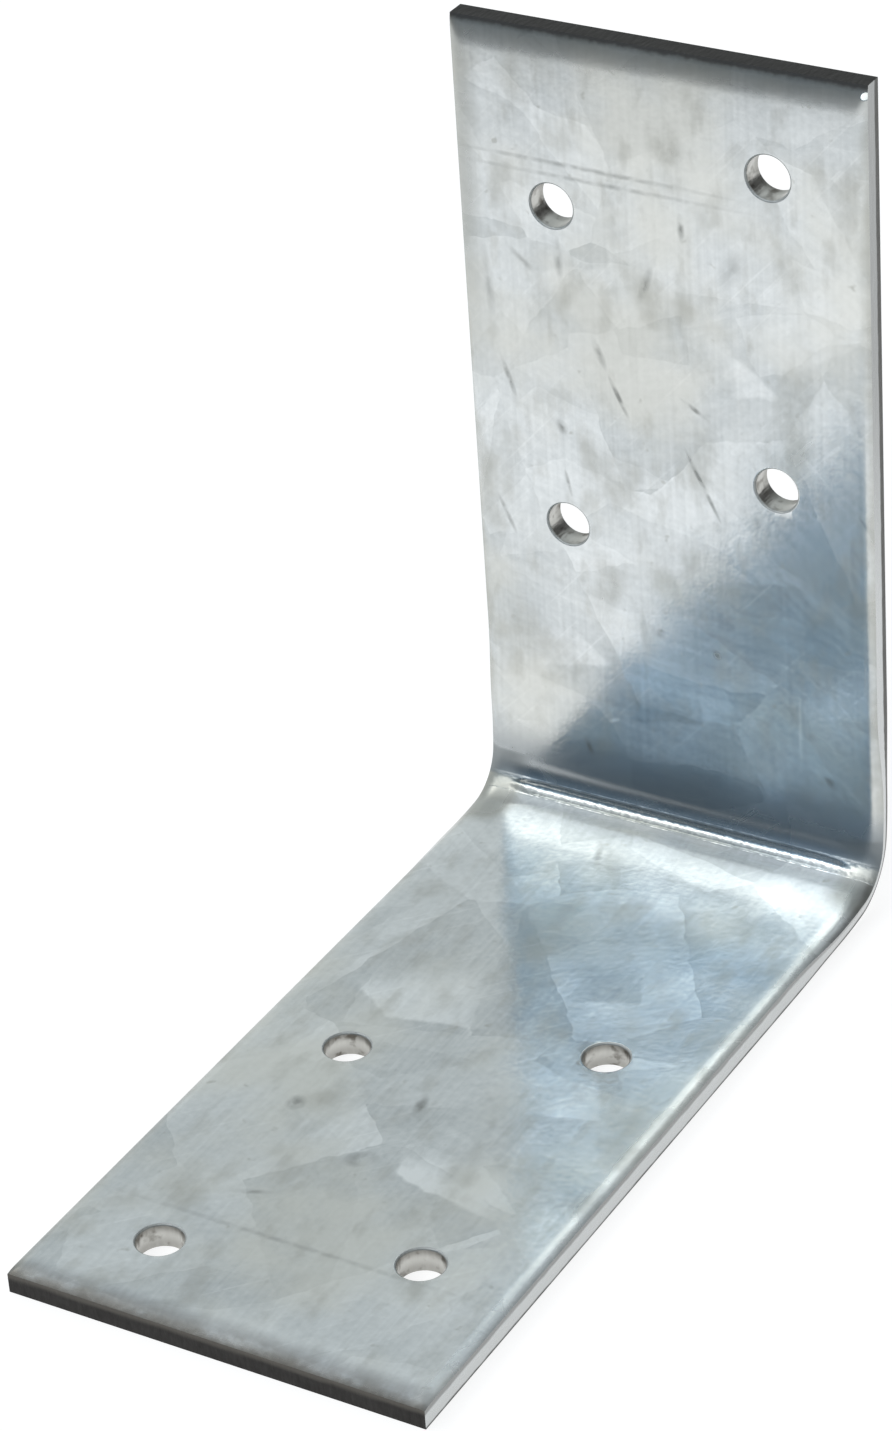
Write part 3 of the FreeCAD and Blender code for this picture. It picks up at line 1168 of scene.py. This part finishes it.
wall_border = (0.7, 0.9)


def light_share(colour):
    """A colour as a share of the strip light, because a ramp holds colours up to white."""
    return tuple(level / strip_light for level in colour)


def dimmed(stops):
    return [(rise, light_share(colour)) for rise, colour in stops]


def room_colour(tree):
    direction = Wire.add(tree, "ShaderNodeTexCoord", output="Generated")
    right, _, rise = direction.parts()
    rise = rise.max(0.0)
    facing = direction.vector("DOT_PRODUCT", front, "Value").step(*front_border)
    behind = rise.ramp(*dimmed(back_stops))
    behind = right.step(*corner_border).mix(behind, (*light_share(dark_corner), 1))
    room = facing.mix(behind, rise.ramp(*dimmed(front_stops)))
    return abs(right).step(*wall_border).mix(room, (*light_share(side_wall), 1))


def painted_room():
    world = bpy.data.worlds.new("studio")
    world.use_nodes = True
    bpy.context.scene.world = world
    tree = world.node_tree
    seen = Wire.add(tree, "ShaderNodeLightPath", output="Is Camera Ray")
    colour = seen.mix(room_colour(tree), (*light_share((1, 1, 1)), 1))
    background = tree.nodes["Background"]
    connect(background, Color=colour)
    background.inputs["Strength"].default_value = strip_light


painted_room()
print("The room is painted with", len(front_stops) + len(back_stops), "stops")

# %% [markdown]
# ## The camera
#
# The camera's place comes from fitting the part's outlines and hole centres to the photograph, so it is given
# as numbers: the eye, the way it looks and how far it leans. The sensor's width spans the longer side of the
# picture, which is its height.

# %% The camera
image_height = 1431
focal_pixels = 4815.77
eye = Vector((173.01, -275.048, 235.828)) * MM
azimuth = math.radians(32.174)
elevation = math.radians(31.639)
roll = math.radians(-4.07)


def photo_camera():
    camera = bpy.data.objects.new("camera", bpy.data.cameras.new("camera"))
    level = math.cos(elevation)
    aim = Vector((-math.sin(azimuth) * level, math.cos(azimuth) * level, -math.sin(elevation)))
    camera.location = eye
    camera.rotation_mode = "QUATERNION"
    camera.rotation_quaternion = aim.to_track_quat("-Z", "Y") @ Quaternion((0, 0, 1), roll)
    camera.data.sensor_width = 36.0
    camera.data.lens = focal_pixels * camera.data.sensor_width / image_height
    camera.data.clip_start = 10.0 * MM
    bpy.context.scene.collection.objects.link(camera)
    bpy.context.scene.camera = camera
    return camera


camera = photo_camera()
bpy.context.view_layer.update()
bpy.context.scene.view_settings.view_transform = "Standard"
camera_axes = camera.matrix_world.to_3x3().transposed()
print("Camera axes:", [[round(v, 4) for v in axis] for axis in camera_axes])
